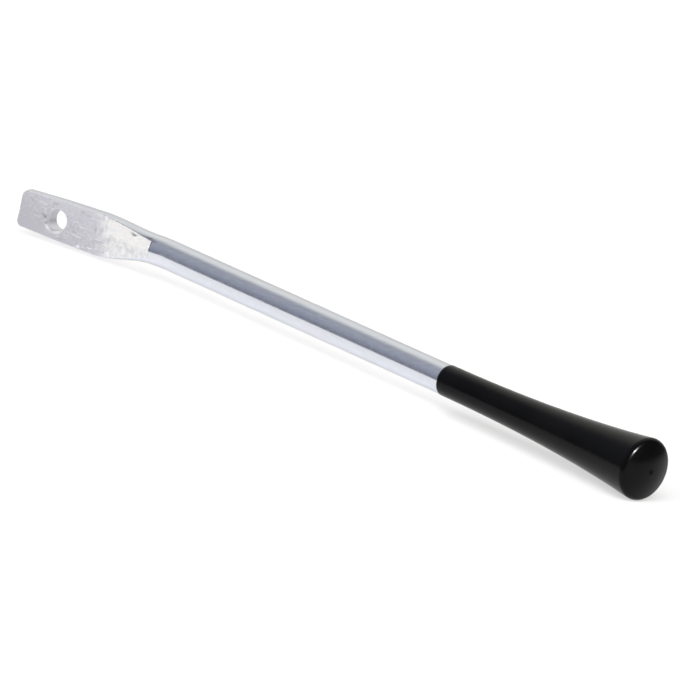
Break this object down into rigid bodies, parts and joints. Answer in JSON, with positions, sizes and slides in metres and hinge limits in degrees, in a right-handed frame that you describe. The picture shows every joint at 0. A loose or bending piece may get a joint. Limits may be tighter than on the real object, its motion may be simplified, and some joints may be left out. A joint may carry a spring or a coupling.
{
  "type": "hand lever",
  "caption": "Steel hand lever: a round plated bar, bent and pressed flat into a drilled blade at one end, with a flared black plastic grip moulded on the other.",
  "frame": {"origin": "centre of the pivot hole, halfway through the blade", "axes": "the hole's axis is Y; +X runs along the blade towards the grip; +Z is across the blade's width, so the lever stands on its edge; from the bend the bar leans 15 degrees towards -Y"},
  "size_m": [0.4455, 0.1172, 0.0324],
  "materials": {
    "plated_steel": "bright zinc plate, smooth on the bar, dented and scratched on the pressed blade",
    "black_plastic": "satin gloss moulding"
  },
  "bodies": {
    "root": {"lever_bar": "plated_steel", "grip": "black_plastic"}
  },
  "joints": []
}
